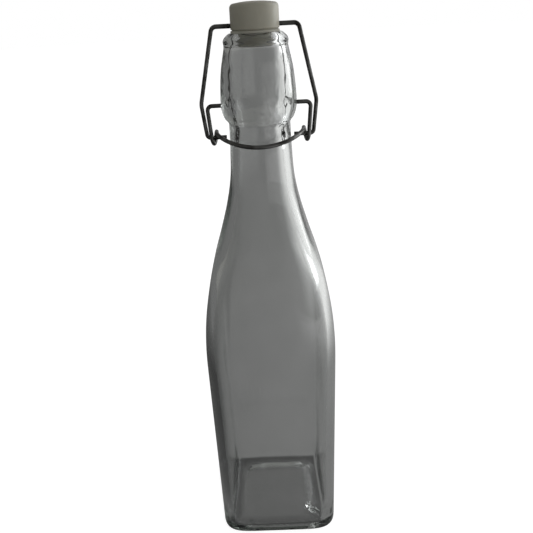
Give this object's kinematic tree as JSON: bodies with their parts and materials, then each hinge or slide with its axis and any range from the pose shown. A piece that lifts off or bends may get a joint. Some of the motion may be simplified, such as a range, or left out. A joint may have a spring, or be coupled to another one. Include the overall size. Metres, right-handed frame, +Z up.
{
  "type": "swing top bottle",
  "caption": "Tall square glass bottle with a round neck, closed by a plastic stopper on a wire bail that a toggle lever locks down.",
  "frame": {"origin": "on the bottle's axis, on the plane that the bottle stands on", "axes": "+Z up along the bottle's axis; -Y is the front, where the locking lever's thumb loop is; +X is the right-hand side"},
  "size_m": [0.072, 0.072, 0.3013],
  "materials": {
    "clear_glass": "smooth clear soda-lime glass with a faint grey-green cast",
    "white_plastic": "satin moulded off-white plastic",
    "pale_rubber": "matte translucent pale rubber",
    "steel_wire": "drawn steel wire, dulled"
  },
  "bodies": {
    "bottle": {"bottle": "clear_glass"},
    "lever": {"locking_lever": "steel_wire"},
    "bail": {"stopper_bail": "steel_wire"},
    "stopper": {"stopper": "white_plastic", "gasket": "pale_rubber"}
  },
  "joints": [
    {"name": "lever_lift", "type": "hinge", "parent": "bottle", "child": "lever", "pos_m": [0, 0, 0.2573], "axis": [-1, 0, 0], "range_deg": [0, 84]},
    {"name": "bail_swing", "type": "hinge", "parent": "lever", "child": "bail", "pos_m": [0, 0.0016, 0.242], "axis": [1, 0, 0], "range_deg": [0, 60]},
    {"name": "stopper_tilt", "type": "hinge", "parent": "bail", "child": "stopper", "pos_m": [0, 0, 0.2917], "axis": [1, 0, 0], "range_deg": [0, 26]}
  ],
  "couplings": [
    {"joint": "bail_swing", "follows": "lever_lift", "ratio": 0.7},
    {"joint": "stopper_tilt", "follows": "lever_lift", "ratio": 0.3}
  ]
}
